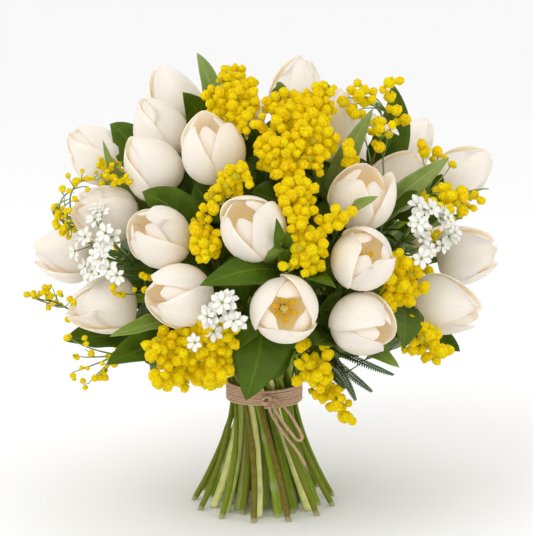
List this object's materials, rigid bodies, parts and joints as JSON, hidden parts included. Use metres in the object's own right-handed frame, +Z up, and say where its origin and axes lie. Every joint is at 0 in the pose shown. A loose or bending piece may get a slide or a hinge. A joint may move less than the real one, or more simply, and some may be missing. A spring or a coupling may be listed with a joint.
{
  "type": "bunch of tulips",
  "caption": "Hand-tied bunch of white tulips with yellow mimosa, dark leaves and small white flowers, tied with jute twine, standing on its splayed cut stems.",
  "frame": {"origin": "middle of the cut end of the middle branch, on the surface that the bunch stands on", "axes": "+Z up along the stems, +X to the right and +Y away for someone who faces the front of the bunch, where the knot and the bloom that looks straight out are"},
  "size_m": [0.3988, 0.3627, 0.387],
  "materials": {
    "petals": "soft satin, ivory with a cream base",
    "pollen": "matt, powdery yellow",
    "stems": "satin, pale green, browner towards the cut end",
    "leaves": "satin, dark green with a paler midrib",
    "mimosa": "matt, downy yellow",
    "twine": "rough, twisted jute"
  },
  "bodies": {
    "root": {"tulip_bloom_1": "petals", "tulip_bloom_2": "petals", "tulip_bloom_3": "petals", "tulip_bloom_4": "petals", "tulip_bloom_5": "petals", "tulip_bloom_6": "petals", "tulip_bloom_7": "petals", "tulip_bloom_8": "petals", "tulip_bloom_9": "petals", "tulip_bloom_10": "petals", "tulip_bloom_11": "petals", "tulip_bloom_12": "petals", "tulip_bloom_13": "petals", "tulip_bloom_14": "petals", "tulip_bloom_15": "petals", "tulip_bloom_16": "petals", "tulip_bloom_17": "petals", "tulip_bloom_18": "petals", "tulip_bloom_19": "petals", "tulip_bloom_20": "petals", "tulip_bloom_21": "petals", "tulip_bloom_22": "petals", "tulip_bloom_23": "petals", "tulip_bloom_24": "petals", "tulip_bloom_25": "petals", "tulip_bloom_26": "petals", "tulip_bloom_27": "petals", "tulip_bloom_28": "petals", "tulip_bloom_29": "petals", "tulip_bloom_30": "petals", "tulip_heart_16": "pollen", "tulip_stems_1": "stems", "tulip_stems_2": "stems", "tulip_stems_3": "stems", "tulip_stems_4": "stems", "tulip_stems_5": "stems", "tulip_stems_6": "stems", "twine_band": "twine", "twine_tail": "twine", "twine_loop": "twine", "leafy_branch_1": "leaves", "leafy_branch_2": "leaves", "leafy_branch_3": "leaves", "leafy_branch_4": "leaves", "leafy_branch_5": "leaves", "star_flowers_1": "petals", "star_flowers_2": "petals", "star_flowers_3": "petals", "fern_stem": "leaves", "mimosa_1": "mimosa", "mimosa_2": "mimosa", "mimosa_3": "mimosa", "mimosa_4": "mimosa", "mimosa_5": "mimosa", "mimosa_6": "mimosa", "mimosa_7": "mimosa", "mimosa_8": "mimosa", "mimosa_9": "mimosa", "mimosa_10": "mimosa", "mimosa_11": "mimosa"}
  },
  "joints": []
}
